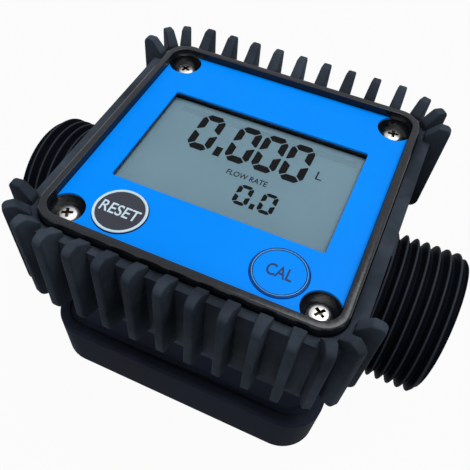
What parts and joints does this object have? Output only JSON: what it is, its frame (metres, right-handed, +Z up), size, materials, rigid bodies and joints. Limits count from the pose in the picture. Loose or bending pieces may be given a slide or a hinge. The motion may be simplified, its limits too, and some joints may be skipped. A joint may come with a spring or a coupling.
{
  "type": "turbine flow meter",
  "caption": "Inline turbine flow meter with male pipe thread stubs, finned rubber guard, display and two keys.",
  "frame": {"origin": "middle of the base's underside", "axes": "+X along the flow from inlet to outlet, +Y to the back, +Z up through the display"},
  "size_m": [0.1014, 0.0758, 0.0534],
  "materials": {
    "nylon_body": "moulded glass-filled nylon, matt black",
    "gloss_cover": "glossy black moulding",
    "guard_rubber": "soft matt black rubber",
    "seal_rubber": "black elastomer",
    "blue_label": "printed polyester overlay, satin blue",
    "clear_window": "clear acrylic",
    "display_glass": "grey display glass",
    "key_dark": "dark grey printed key",
    "key_blue": "blue printed key",
    "bright_screw": "bright zinc plated",
    "screw_steel": "zinc plated steel",
    "contact_metal": "nickel plated spring steel",
    "cell_case": "plain cell sleeve",
    "board_green": "green solder mask",
    "chip_black": "black moulded component",
    "turbine_white": "natural acetal",
    "strainer_black": "black moulded grid",
    "bush_brass": "turned brass",
    "magnet_steel": "nickel plated magnet"
  },
  "bodies": {
    "housing": {"meter_body": "nylon_body", "battery_cover": "nylon_body", "battery_cover_screws": "screw_steel", "battery_gasket": "seal_rubber", "front_battery": "cell_case", "rear_battery": "cell_case", "plate_contacts": "contact_metal", "spring_contacts": "contact_metal", "top_cover": "gloss_cover", "cover_gasket": "seal_rubber", "cover_screws": "bright_screw", "face_label": "blue_label", "lcd_window": "clear_window", "lcd_display": "display_glass", "lcd_connectors": "seal_rubber", "circuit_board": "board_green", "board_screws": "screw_steel", "controller_chip": "chip_black", "pickup_sensor": "chip_black", "reset_switch": "chip_black", "cal_switch": "chip_black", "turbine_cage": "turbine_white", "outlet_spider": "turbine_white", "inlet_bush": "bush_brass", "outlet_bush": "bush_brass", "inlet_strainer": "strainer_black", "retaining_ring": "screw_steel", "rubber_guard": "guard_rubber"},
    "turbine": {"turbine_rotor": "turbine_white", "rotor_shaft": "screw_steel", "rotor_magnets": "magnet_steel"},
    "reset_button": {"reset_key": "key_dark", "reset_plunger": "key_dark"},
    "cal_button": {"cal_key": "key_blue", "cal_plunger": "key_dark"}
  },
  "joints": [
    {"name": "turbine_spin", "type": "hinge", "parent": "housing", "child": "turbine", "pos_m": [0, 0, 0.023], "axis": [1, 0, 0], "continuous": true},
    {"name": "reset_press", "type": "slide", "parent": "housing", "child": "reset_button", "axis": [0, 0, -1], "range_m": [0, 0.00035], "stiffness_N_per_m": 4000},
    {"name": "cal_press", "type": "slide", "parent": "housing", "child": "cal_button", "axis": [0, 0, -1], "range_m": [0, 0.00035], "stiffness_N_per_m": 4000}
  ]
}
